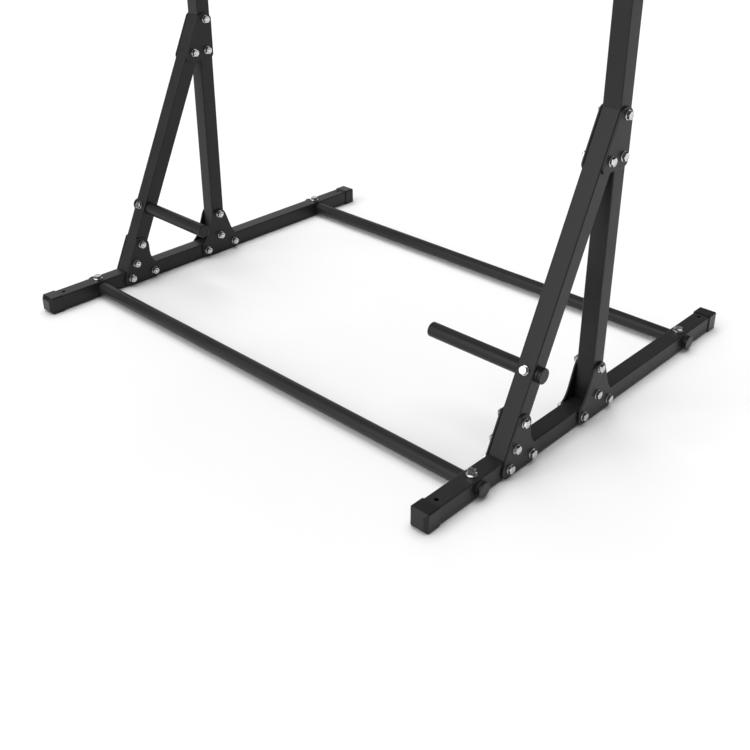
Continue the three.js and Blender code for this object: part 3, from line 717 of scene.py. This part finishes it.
for side, sign in SIDES:
    x0 = sign * STANCE_HALF
    out_axis, in_axis = outward(sign), outward(-sign)

    run = BASE_HALF - CAP_FLOOR - GAP
    along = (0, 1, 0)
    steel = Shape().add(square_tube((x0, 0, RUNNER_Z), along, ((0, -run, 0), along), ((0, run, 0), along)))
    runner = steel.object(f"runner_{side}_steel")
    holes = Shape()
    for _, way in ENDS:
        hole = turned([(RUNNER_HOLE_R, -9), (RUNNER_HOLE_R, 9)], 32)
        holes.add(hole, place(x0, way * RUNNER_HOLE_Y, RUNNER_TOP))
    finished(drilled(runner, holes), COAT, node=f"runner_{side}", ease=0.5, crease=50)

    for end, way in ENDS:
        at = place(x0, way * BASE_HALF, RUNNER_Z, "y" if way < 0 else "-y")
        cap = Shape().add(runner_cap(), at).object(f"runner_cap_{side}_{end}_moulding")
        finished(cap, PLASTIC, node=f"runner_cap_{side}_{end}", ease=0.9, crease=30)
        bolt = bolted(Shape(), place(x0, way * CROSSBAR_Y, RUNNER_TOP + GAP), M12)
        bolt = bolt.object(f"crossbar_bolt_{side}_{end}_zinc")
        finished(bolt, ZINC, node=f"crossbar_bolt_{side}_{end}", crease=25)
        at = place(x0 + sign * (HALF + BAR_END_OUT + GAP), way * CROSSBAR_Y, RUNNER_Z, out_axis)
        cap = Shape().add(round_cap(6), at).object(f"crossbar_cap_{side}_{end}_moulding")
        finished(cap, PLASTIC, node=f"crossbar_cap_{side}_{end}")

    steel = Shape().add(upright_tube(x0, 0, RUNNER_TOP + GAP, POST_TOP)).object(f"post_{side}_steel")
    holes = Shape()
    for z in STOP_HOLES:
        holes.add(turned([(STOP_HOLE_R, -30), (STOP_HOLE_R, 30)], 32), place(x0, 0, z, "x"))
    # The clamping screw's way through the rear wall, as wide as the boss's bore.
    holes.add(turned([(BOSS_BORE_R, -9), (BOSS_BORE_R, 9)], 40), place(x0, HALF, KNOB_Z, "y"))
    finished(drilled(steel, holes), COAT, node=f"post_{side}", ease=0.5, crease=50)

    steel = Shape().add(square_tube(
        (x0, brace_start.x, brace_start.y), (0, up.x, up.y),
        ((0, 0, RUNNER_TOP + GAP), (0, 0, 1)), ((0, -HALF - GAP, 0), (0, 1, 0))))
    finished(steel.object(f"brace_{side}_steel"), COAT, node=f"brace_{side}", ease=0.5, crease=40)

    plates = (
        ("front", front_gusset(), front_bolts),
        ("rear", rear_gusset(), rear_bolts),
        ("upper", upper_gusset(), upper_bolts),
    )
    outer_face = HALF + GAP + PLATE
    for spot, outline, bolts in plates:
        for face, way in (("inner", -sign), ("outer", sign)):
            at = Matrix.Translation((x0 + way * (outer_face - PLATE / 2), 0, 0)) @ UPRIGHT
            plate = Shape().add(slab(outline, PLATE), at).object(f"gusset_{spot}_{side}_{face}_plate")
            finished(plate, COAT, node=f"gusset_{spot}_{side}_{face}", ease=0.7, crease=50)
        fasteners = Shape()
        for y, z in bolts:
            bolted(fasteners, place(x0 + sign * outer_face, y, z, out_axis), M10, 2 * outer_face)
        finished(fasteners.object(f"gusset_{spot}_{side}_bolts"), ZINC, crease=25)

    length = HANDLE_REACH + TUBE + BAR_END_OUT
    middle = x0 - sign * (HANDLE_REACH + HALF - length / 2)
    bar = Shape().add(round_tube(length), place(middle, handle_y, handle_z, "x"))
    finished(bar.object(f"pushup_handle_{side}_steel"), COAT, node=f"pushup_handle_{side}")
    at = place(x0 + sign * (HALF + BAR_END_OUT + GAP), handle_y, handle_z, out_axis)
    cap = Shape().add(round_cap(7), at).object(f"pushup_handle_cap_{side}_moulding")
    finished(cap, PLASTIC, node=f"pushup_handle_cap_{side}")
    at = place(x0 - sign * (HALF + HANDLE_REACH), handle_y, handle_z, in_axis)
    plug = Shape().add(flush_plug(), at).object(f"pushup_handle_plug_{side}_moulding")
    finished(plug, PLASTIC, node=f"pushup_handle_plug_{side}")
    seat = HALF + GAP
    tilt = Matrix.Rotation(math.pi / 2 - lean, 4, "X")
    at = Matrix.Translation((x0, handle_y - up.y * seat, handle_z + up.x * seat)) @ tilt
    bolt = bolted(Shape(), at, M10, 2 * seat, 5).object(f"pushup_handle_bolt_{side}_zinc")
    finished(bolt, ZINC, node=f"pushup_handle_bolt_{side}", crease=25)

for end, way in ENDS:
    length = 2 * (STANCE_HALF + HALF + BAR_END_OUT)
    bar = Shape().add(round_tube(length), place(0, way * CROSSBAR_Y, RUNNER_Z, "x"))
    finished(bar.object(f"crossbar_{end}_steel"), COAT, node=f"crossbar_{end}")

# ---------- dip station ----------


def ring_on(points, at):
    """A ring of points laid by a matrix."""
    return [at @ p for p in points]


def rounded_plate(width, depth, radius, thickness):
    """A plate with rounded corners, centred on z = 0."""
    half = thickness / 2
    return loft([rounded(width, depth, radius, -half), rounded(width, depth, radius, half)])


# A bolt through one tube's full width and one end plate, with the space between them.
PLATE_GRIP = TUBE + GAP + END_PLATE
# Weld beads lie just off the plate that they join.
WELD_OFF = END_PLATE + 0.6

# The beam's tube stops inside its end plates.
beam_end = STANCE_HALF - HALF - GAP
beam_stop = beam_end - 3
along = (1, 0, 0)
beam = Shape()
beam.add(square_tube((0, 0, BEAM_Z), along, ((-beam_stop, 0, 0), along), ((beam_stop, 0, 0), along)))
beam_welds = Shape()
beam_bolts = Shape()
for side, sign in SIDES:
    at = place(sign * (beam_end - END_PLATE / 2), 0, BEAM_Z, "x")
    beam.add(rounded_plate(END_PLATE_TALL, END_PLATE_WIDE, 5, END_PLATE), at)
    seam = rounded(TUBE + 1.5, TUBE + 1.5, 4)
    beam_welds.add(bead(ring_on(seam, place(sign * (beam_end - WELD_OFF), 0, BEAM_Z, "x"))))
    for z in BEAM_BOLTS:
        bolted(beam_bolts, place(sign * (STANCE_HALF + HALF), 0, z, outward(sign)), M10, PLATE_GRIP)
finished(beam.object("dip_beam_steel"), COAT, node="dip_beam", ease=0.5, crease=50)

ARM_BACK = -HALF - GAP
GRIP_RIBS = 11


def ribbed_grip():
    """A moulded hand grip along +Z: a rounded closed end, ribs, and a flange at the open end."""
    radius, groove, bore, open_end = 21, (20.1, 19.8), BAR_R + GAP, 132
    profile = [(10, -8), (15.5, -7.4), (18.8, -5.4), (20.6, -2.2), (radius, 1)]
    pitch = 110 / GRIP_RIBS
    for i in range(GRIP_RIBS):
        low = 8 + i * pitch
        profile += [
            (radius, low), (groove[0], low + 1.2), (groove[1], low + 2.2), (groove[0], low + 3.2),
            (radius, low + 4.4),
        ]
    profile += [
        (radius, 122), (21.6, 125), (23.4, 126.5), (24, 128), (24, 130.5), (23.2, 131.8),
        (22, open_end), (bore, open_end), (bore, 0),
    ]
    return turned(profile, 56)


# The arm's plate as seen from the front, and its web in Y and Z from the plate's face.
ARM_PLATE = [
    (-45, 30), (-45, -30), (-22.5, -30), (-22.5, -58), (22.5, -58), (22.5, -30), (45, -30), (45, 30),
]
ARM_WEB = [(1, 1), (1, -57), (-29, -57), (-149, -14), (-149, 1)]
arm_plate = filleted(ARM_PLATE, 6)
web = [(y + ARM_BACK - 2, z + BEAM_Z) for y, z in filleted(ARM_WEB, 5)]
for side, sign in SIDES:
    x = sign * ARM_X
    arm = Shape().add(round_tube(ARM_LENGTH - 1), place(x, ARM_BACK - ARM_LENGTH / 2 - 0.5, BEAM_Z, "y"))
    facing = Matrix((
        (1, 0, 0, x), (0, 0, -1, ARM_BACK - END_PLATE / 2), (0, 1, 0, BEAM_Z), (0, 0, 0, 1),
    ))
    arm.add(slab(arm_plate, END_PLATE), facing)
    arm.add(slab(web, END_PLATE), Matrix.Translation((x, 0, 0)) @ UPRIGHT)
    arm.add(rounded_plate(*SHELF), place(x, ARM_BACK - SHELF_OUT, BEAM_Z + BAR_R + 1.5))
    finished(arm.object(f"dip_arm_{side}_steel"), COAT, node=f"dip_arm_{side}", ease=0.5, crease=50)
    seam = ring_on(circle(BAR_R + 0.7), place(x, ARM_BACK - WELD_OFF, BEAM_Z, "y"))
    welds = Shape().add(bead(seam, 2.6))
    for edge in (-1, 1):
        low = [Vector((x + edge * 3, ARM_BACK - 6, BEAM_Z - z)) for z in (18, 55)]
        welds.add(bead(low, 2.2, closed=False))
        along = [Vector((x + edge * 3.2, ARM_BACK - y, BEAM_Z - 15.2)) for y in (10, 140)]
        welds.add(bead(along, 2.0, closed=False))
        shelf = [Vector((x + edge * 7.2, ARM_BACK - y, BEAM_Z + 14.8)) for y in (78, 244)]
        welds.add(bead(shelf, 1.8, closed=False))
    finished(welds.object(f"dip_arm_{side}_welds"), COAT, crease=60)
    grip = Shape().add(ribbed_grip(), place(x, ARM_BACK - ARM_LENGTH - GAP, BEAM_Z, "y"))
    finished(grip.object(f"dip_grip_{side}_moulding"), RUBBER, node=f"dip_grip_{side}", crease=40)
    for step in (-ARM_BOLT_OUT, ARM_BOLT_OUT):
        bolted(beam_bolts, place(x + step, ARM_BACK - END_PLATE, BEAM_Z, "-y"), M10, PLATE_GRIP)

mast = Shape().add(upright_tube(0, MAST_Y, *MAST_Z))
finished(mast.object("back_pad_mast_steel"), COAT, node="back_pad_mast", ease=0.5, crease=50)
for step in (-MAST_BOLT_OUT, MAST_BOLT_OUT):
    bolted(beam_bolts, place(step, MAST_Y - HALF, BEAM_Z, "-y"), M8, TUBE * 2 + GAP)
finished(beam_bolts.object("dip_station_bolts"), ZINC, crease=25)
finished(beam_welds.object("dip_beam_welds"), COAT, crease=60)


def tube_cap(size, height=3.2):
    """A domed plastic cap over a square tube's end, with its skirt inside the tube."""
    inside = size - 2 * WALL - 1
    return loft([
        rounded(inside, inside, 1.5, -14), rounded(inside, inside, 1.5, 0.1), rounded(size, size, 3, 0.1),
        rounded(size, size, 3, height * 0.45), rounded(size - 1.6, size - 1.6, 2.8, height * 0.8),
        rounded(size - 5, size - 5, 2.5, height),
    ])


mast_caps = Shape().add(tube_cap(TUBE), place(0, MAST_Y, MAST_Z[1] + 0.1))
mast_caps.add(tube_cap(TUBE), place(0, MAST_Y, MAST_Z[0] - 0.1, "-z"))
finished(mast_caps.object("back_pad_mast_caps"), PLASTIC, ease=0.3, crease=45)

# ---------- upholstery ----------


def stuffed(name, width, depth, thick, corner, at, limit):
    """A pad's foam and cover: swollen by cloth pressure from a smaller rounded block whose flat back
    stays on its board, and no point moves further than the limit. Its back is at z = 0."""
    shrink = 3.0
    w, d, t = width - 2 * shrink, depth - 2 * shrink, thick - shrink
    rings = [
        rounded(w - 2, d - 2, corner, 0, 8),
        rounded(w, d, corner, 3, 8),
        rounded(w, d, corner, t - 9, 8),
        rounded(w - 5, d - 5, corner, t - 3, 8),
        rounded(w - 16, d - 16, corner, t, 8),
    ]
    pad = Shape().add(loft(rings)).object(name)
    remesh = pad.modifiers.new("remesh", "REMESH")
    remesh.mode, remesh.voxel_size = "VOXEL", 5 * MM
    applied(pad)
    start = [v.co.copy() for v in pad.data.vertices]
    held = pad.vertex_groups.new(name="board")
    held_depth = 6
    held.add([v.index for v in pad.data.vertices if v.co.z < held_depth * MM], 1.0, "REPLACE")
    cloth = pad.modifiers.new("cloth", "CLOTH")
    cloth.settings.quality = 4
    cloth.settings.mass = 0.2
    cloth.settings.tension_stiffness = cloth.settings.compression_stiffness = 22
    cloth.settings.bending_stiffness = 0.8
    cloth.settings.use_pressure = True
    cloth.settings.uniform_pressure_force = 4
    cloth.settings.vertex_group_mass = "board"
    cloth.settings.effector_weights.gravity = 0
    last_frame = 20
    for step in range(1, last_frame + 1):
        bpy.context.scene.frame_set(step)
    graph = bpy.context.evaluated_depsgraph_get()
    swollen = [v.co.copy() for v in pad.evaluated_get(graph).data.vertices]
    pad.modifiers.clear()
    for vertex, was, now in zip(pad.data.vertices, start, swollen):
        move = now - was
        if move.length > limit * MM:
            move = move.normalized() * limit * MM
        vertex.co = was + move
    for vertex in pad.data.vertices:
        vertex.co.z = max(vertex.co.z, 0.2 * MM)
    settled = pad.modifiers.new("settled", "SMOOTH")
    settled.factor, settled.iterations = 0.5, 8
    smooth = pad.modifiers.new("smooth", "SUBSURF")
    smooth.levels = smooth.render_levels = 1
    applied(pad)
    pad.data.transform(Matrix.Translation([c * MM for c in at.to_translation()]) @ at.to_3x3().to_4x4())
    return pad


def outline_on(pad, width, depth, corner, height, at, proud=0.0):
    """The pad's outline at a height, laid on the pad's own surface."""
    tree = BVHTree.FromObject(pad, bpy.context.evaluated_depsgraph_get())
    path = resampled(rounded(width, depth, corner, height, 8), 4)
    found = []
    for p in path:
        spot, normal, _, _ = tree.find_nearest((at @ p) * MM)
        found.append(spot / MM + normal * proud)
    return found


def grooved(pad, lines, at, depth=3.2, width=3.4):
    """Sewn channels across a pad's face: each line is (axis, place) in the pad's own plan, where axis 1
    is a line across the pad and axis 0 a line along it."""
    back = at.inverted()
    out = (at.to_3x3() @ Vector((0, 0, 1))).normalized()
    face_from = 12
    for vertex in pad.data.vertices:
        local = back @ (vertex.co / MM)
        if local.z < face_from:
            continue
        sink = max(math.exp(-((local[axis] - spot) / width) ** 2) for axis, spot in lines)
        vertex.co -= out * sink * depth * MM


def stitched(pad, paths, at, stitch=3.4, gap=1.8):
    """Short threads along straight lines in the pad's plan, on its face."""
    tree = BVHTree.FromObject(pad, bpy.context.evaluated_depsgraph_get())
    down = (at.to_3x3() @ Vector((0, 0, -1))).normalized()
    threads = Shape()
    for start, end in paths:
        start, end = Vector(start), Vector(end)
        count = int((end - start).length / (stitch + gap))
        for i in range(count):
            points = []
            for share in (0, 0.5, 1):
                spot = start.lerp(end, (i + share * stitch / (stitch + gap)) / count)
                hit, normal, _, _ = tree.ray_cast((at @ Vector((spot.x, spot.y, 200))) * MM, down)
                if hit:
                    # A thread's middle stands proud of its ends.
                    points.append(hit / MM + normal * (0.1 + 0.45 * (share == 0.5)))
            if len(points) == 3:
                threads.add(swept(points, [0.35, 0.5, 0.35], 6))
    return threads


def upholstered(name, width, depth, thick, corner, at, limit, channels=()):
    """A board, a stuffed cover with its sewn channels, and piping round its seams. The name is also the
    CAD node's, and the pad's back lies on the plane of `at`."""
    up_board = at @ lifted(PAD_BOARD)
    pad = stuffed(f"{name}_cover", width, depth, thick - PAD_BOARD, corner, up_board, limit)
    if channels:
        grooved(pad, channels, at)
    finished(pad, VINYL, node=name, crease=80)
    back_seam = outline_on(pad, width - 5, depth - 5, corner, 3.5, up_board, -0.4)
    piping = Shape().add(swept(back_seam, 1.9, 10, True))
    face_seam = outline_on(pad, width - 9, depth - 9, corner, thick - PAD_BOARD - 9, up_board, -0.5)
    piping.add(swept(face_seam, 1.5, 10, True))
    finished(piping.object(f"{name}_piping"), PIPING, crease=60)
    back = Shape().add(loft([
        rounded(width - 9, depth - 9, corner, 0.2),
        rounded(width - 6, depth - 6, corner, 2),
        rounded(width - 6, depth - 6, corner, PAD_BOARD + 0.5),
    ]), at)
    finished(back.object(f"{name}_board"), VINYL, ease=0.8, crease=50)
    # A row of stitches on either side of each channel, which stops short of the pad's edges.
    margin, beside = 14, 3.6
    paths = []
    for axis, spot in channels:
        reach = (depth, width)[axis] / 2 - margin
        for step in (-beside, beside):
            ends = [(way * reach, spot + step, 0) for way in (-1, 1)]
            paths.append([(x, y, z) if axis == 1 else (y, x, z) for x, y, z in ends])
    if paths:
        finished(stitched(pad, paths, at).object(f"{name}_stitches"), THREAD, crease=60)


pad_face = Matrix(((1, 0, 0, 0), (0, 0, -1, MAST_Y - HALF - GAP), (0, 1, 0, BACK_PAD_Z), (0, 0, 0, 1)))
upholstered("back_pad", *BACK_PAD, pad_face, BACK_PAD_SWELL, BACK_PAD_CHANNELS)
for side, sign in SIDES:
    at = place(sign * ARM_X, ARM_BACK - ARM_PAD_BACK, BEAM_Z + BAR_R + 3.5 + GAP)
    upholstered(f"arm_pad_{side}", *ARM_PAD, at, ARM_PAD_SWELL)

# ---------- pull-up frame ----------


def guide_bush():
    """A plastic collar on a lower post's top, round the upper post."""
    outer, inner, socket = TUBE + 3.4, 2 * UPPER_HALF + 0.7, TUBE + 0.2
    rim = outer - 3
    skirt, top = -14, 5
    return loft([
        rounded(socket, socket, 3, skirt),
        rounded(outer, outer, 3.6, skirt),
        rounded(outer, outer, 3.6, 2.6),
        rounded(rim, rim, 3.2, top),
        rounded(inner, inner, 3.2, top),
        rounded(inner, inner, 3.2, GAP),
        rounded(socket, socket, 3, GAP),
    ], closed=True)


def knob_head():
    """A five-lobed grip along +Z, 14 mm thick plus its rounded edges, with a domed middle."""
    sides, radius, lobe, lobes = 80, 22, 2.5, 5

    def lobed(scale, height):
        ring = []
        for i in range(sides):
            turn = 2 * math.pi * i / sides
            r = (radius + lobe * math.cos(lobes * turn)) * scale
            ring.append(Vector((r * math.cos(turn), r * math.sin(turn), height)))
        return ring

    back = [(0.55, -3), (0.86, -3), (0.95, -2.2), (0.99, -0.6)]
    rim = [(1.0, 1.5), (1.0, 12), (0.985, 14.3), (0.93, 16.2)]
    face = [(0.84, 17), (0.62, 17), (0.58, 16.2), (0.5, 16.2), (0.3, 16.8)]
    return loft([lobed(scale, height) for scale, height in (*back, *rim, *face)])


upper_bolts_shape = Shape()
upper_welds = Shape()
pull_up = Shape()
plate_x = STANCE_HALF - UPPER_HALF - GAP
for side, sign in SIDES:
    x0 = sign * STANCE_HALF
    # The upper post stands on its stop bolt.
    foot = STOP_Z + M10["shank"] / 2 + GAP
    post = Shape().add(upright_tube(x0, 0, foot, UPPER_TOP, 2 * UPPER_HALF))
    post = post.object(f"upper_post_{side}_steel")
    finished(post, COAT, "pull_up_frame", f"upper_post_{side}", ease=0.5, crease=50)
    cap = Shape().add(tube_cap(2 * UPPER_HALF, 5), place(x0, 0, UPPER_TOP + 0.2))
    cap = cap.object(f"upper_post_cap_{side}_moulding")
    finished(cap, PLASTIC, "pull_up_frame", f"upper_post_cap_{side}", ease=0.3, crease=45)
    bush = Shape().add(guide_bush(), place(x0, 0, POST_TOP))
    finished(bush.object(f"post_{side}_guide_bush"), PLASTIC, ease=0.4, crease=45)
    at = place(sign * (plate_x - END_PLATE / 2), 0, FLANGE_Z, "x")
    pull_up.add(rounded_plate(FLANGE_TALL, END_PLATE_WIDE, 6, END_PLATE), at)
    for step in (-FLANGE_BOLT_OUT, FLANGE_BOLT_OUT):
        at = place(sign * (STANCE_HALF + UPPER_HALF), 0, FLANGE_Z + step, outward(sign))
        bolted(upper_bolts_shape, at, M10, 2 * UPPER_HALF + GAP + END_PLATE)

# The bar's left half, mirrored for the right. Its ends are cut flat inside the flanges.
corner = Vector((-BAR_CORNER[0], BAR_CORNER[1], BAR_CORNER[2]))
start = Vector((-plate_x, 0, FLANGE_Z))
leg = (start - corner).normalized()
other_leg = Vector((-leg.x, leg.y, leg.z))
before, after = corner + leg * BAR_BEND, corner + Vector((BAR_BEND, 0, 0))
half = [start.lerp(before, i / 6) for i in range(6)] + curved(before, corner, after, 16)
path = half + [Vector((-p.x, p.y, p.z)) for p in reversed(half)]
ring = 40
verts, faces = swept(path, BAR_R, ring)
bar_end = plate_x - END_PLATE / 2
for i in range(ring):
    verts[i] = on_plane(verts[i], leg, ((-bar_end, 0, 0), (1, 0, 0)))
    verts[-1 - i] = on_plane(verts[-1 - i], other_leg, ((bar_end, 0, 0), (1, 0, 0)))
pull_up.add((verts, faces))
for side, sign in SIDES:
    joint = [on_plane(verts[i], leg, ((-plate_x + 5.4, 0, 0), (1, 0, 0))) for i in range(ring)]
    middle = sum(joint, Vector()) / ring
    joint = [middle + (p - middle) * 1.03 for p in joint]
    upper_welds.add(bead([Vector((-sign * p.x, p.y, p.z)) for p in joint], 2.4))
finished(pull_up.object("pull_up_bar_steel"), COAT, "pull_up_frame", "pull_up_bar", ease=0.5, crease=50)
finished(upper_welds.object("pull_up_bar_welds"), COAT, "pull_up_frame", crease=60)
finished(upper_bolts_shape.object("pull_up_bar_bolts"), ZINC, "pull_up_frame", crease=25)

for side, sign in SIDES:
    x0 = sign * STANCE_HALF
    # A foam sleeve with rounded ends.
    inside, outside, h, edge, steps = BAR_R + 0.1, BAR_R + 5.3, FOAM_HALF, 2.2, 24
    profile = [(inside, -h), (outside - 2, -h), (outside - 0.6, -h + 0.6), (outside, -h + edge)]
    profile += [(outside, -h + edge + i * 2 * (h - edge) / steps) for i in range(1, steps)]
    profile += [(outside, h - edge), (outside - 0.6, h - 0.6), (outside - 2, h), (inside, h)]
    sleeve = Shape().add(turned(profile, 56, True), place(sign * FOAM_X, BAR_CORNER[1], BAR_CORNER[2], "x"))
    sleeve = sleeve.object(f"pull_up_grip_{side}_sleeve")
    finished(sleeve, FOAM, "pull_up_frame", f"pull_up_grip_{side}", crease=60)

    at = place(x0 + sign * (HALF + GAP), 0, STOP_Z, outward(sign))
    stop = bolted(Shape(), at, M10, TUBE + 2 * GAP, 4).object(f"height_stop_bolt_{side}_zinc")
    finished(stop, ZINC, node=f"height_stop_bolt_{side}", crease=25)

    # The boss that the clamping screw turns in is welded to the post's rear face.
    profile = [(BOSS_BORE_R, 0), (11.4, 0), (12, 0.6), (12, 8.4), (11.4, 9), (BOSS_BORE_R, 9)]
    boss = Shape().add(turned(profile, 40, True), place(x0, HALF, KNOB_Z, "y"))
    boss.add(bead(ring_on(circle(12.8), place(x0, HALF + 0.6, KNOB_Z, "y")), 2.0))
    finished(boss.object(f"post_{side}_boss"), COAT, crease=45)
    tip = UPPER_HALF + GAP
    body = f"height_knob_{side}"
    knob = Shape().add(knob_head(), place(x0, tip + 25, KNOB_Z, "y"))
    knob.add(turned([(9, 12.2), (10.5, 14), (11.5, 18), (12, 24)], 40), place(x0, tip, KNOB_Z, "y"))
    finished(knob.object(f"height_knob_{side}_moulding"), PLASTIC, body, body, crease=40)
    screw = Shape().add(threaded_end(M12, 13), place(x0, tip + 13, KNOB_Z, "-y"))
    finished(screw.object(f"height_knob_{side}_screw"), ZINC, body, crease=40)

# ---------- floor, light and camera ----------

AMBIENT = 0.2
DOME_POWER = 2.43
FRONT_POWER = 1.6
LEFT_POWER = 0.3
FLOOR_REACH = 60.0

floor_mesh = bpy.data.meshes.new("floor")
floor_corners = [(x * FLOOR_REACH, y * FLOOR_REACH, 0) for x, y in ((-1, -1), (1, -1), (1, 1), (-1, 1))]
floor_mesh.from_pydata(floor_corners, [], [(0, 1, 2, 3)])
floor = bpy.data.objects.new("floor", floor_mesh)
bpy.context.scene.collection.objects.link(floor)
pale = surface("studio_floor", (0.86, 0.86, 0.86), 0.004, (0.9, 0.95), (20, 0.01, 0.02), specular=0.1)
floor.data.materials.append(pale)

world = bpy.data.worlds.new("studio")
world.use_nodes = True
nodes, links = world.node_tree.nodes, world.node_tree.links
background = nodes["Background"]
background.inputs["Color"].default_value = (1, 1, 1, 1)
# The backdrop shows as white, and lights the tower only faintly.
strength = nodes.new("ShaderNodeMapRange")
strength.inputs["To Min"].default_value = AMBIENT
strength.inputs["To Max"].default_value = 1.0
links.new(nodes.new("ShaderNodeLightPath").outputs["Is Camera Ray"], strength.inputs["Value"])
links.new(strength.outputs["Result"], background.inputs["Strength"])
bpy.context.scene.world = world


def lamp(name, towards_it, power, width, mirrored=True):
    """A soft lamp so far away that its light has no falloff. It fills an angle of `width` degrees around
    the direction `towards_it`."""
    data = bpy.data.lights.new(name, "SUN")
    data.energy, data.angle = power, math.radians(width)
    made = bpy.data.objects.new(name, data)
    made.rotation_euler = Vector(towards_it).to_track_quat("Z", "Y").to_euler()
    made.visible_glossy = mirrored
    bpy.context.scene.collection.objects.link(made)


# A wide dome overhead, a little to the rear left, that no surface mirrors, and a softbox each to the
# front and to the left that make the sheen on the tubes.
lamp("dome", (-0.3, 0.22, 1.6), DOME_POWER, 60, mirrored=False)
lamp("front_softbox", (-0.25, -1.0, 0.65), FRONT_POWER, 56)
lamp("left_softbox", (-1.0, 0.5, 0.42), LEFT_POWER, 44)

camera_data = bpy.data.cameras.new("camera")
camera_data.sensor_width = 36
camera_data.lens = 49.85
camera_data.shift_x, camera_data.shift_y = -0.003, -0.1046
camera = bpy.data.objects.new("camera", camera_data)
camera.location = (1.5922, -1.6773, 1.2143)
camera.rotation_euler = [math.radians(a) for a in (63.515, 0, 43.287)]
bpy.context.scene.collection.objects.link(camera)
bpy.context.scene.camera = camera

bpy.context.scene.view_settings.view_transform = "Standard"
bpy.context.scene.view_settings.look = "None"
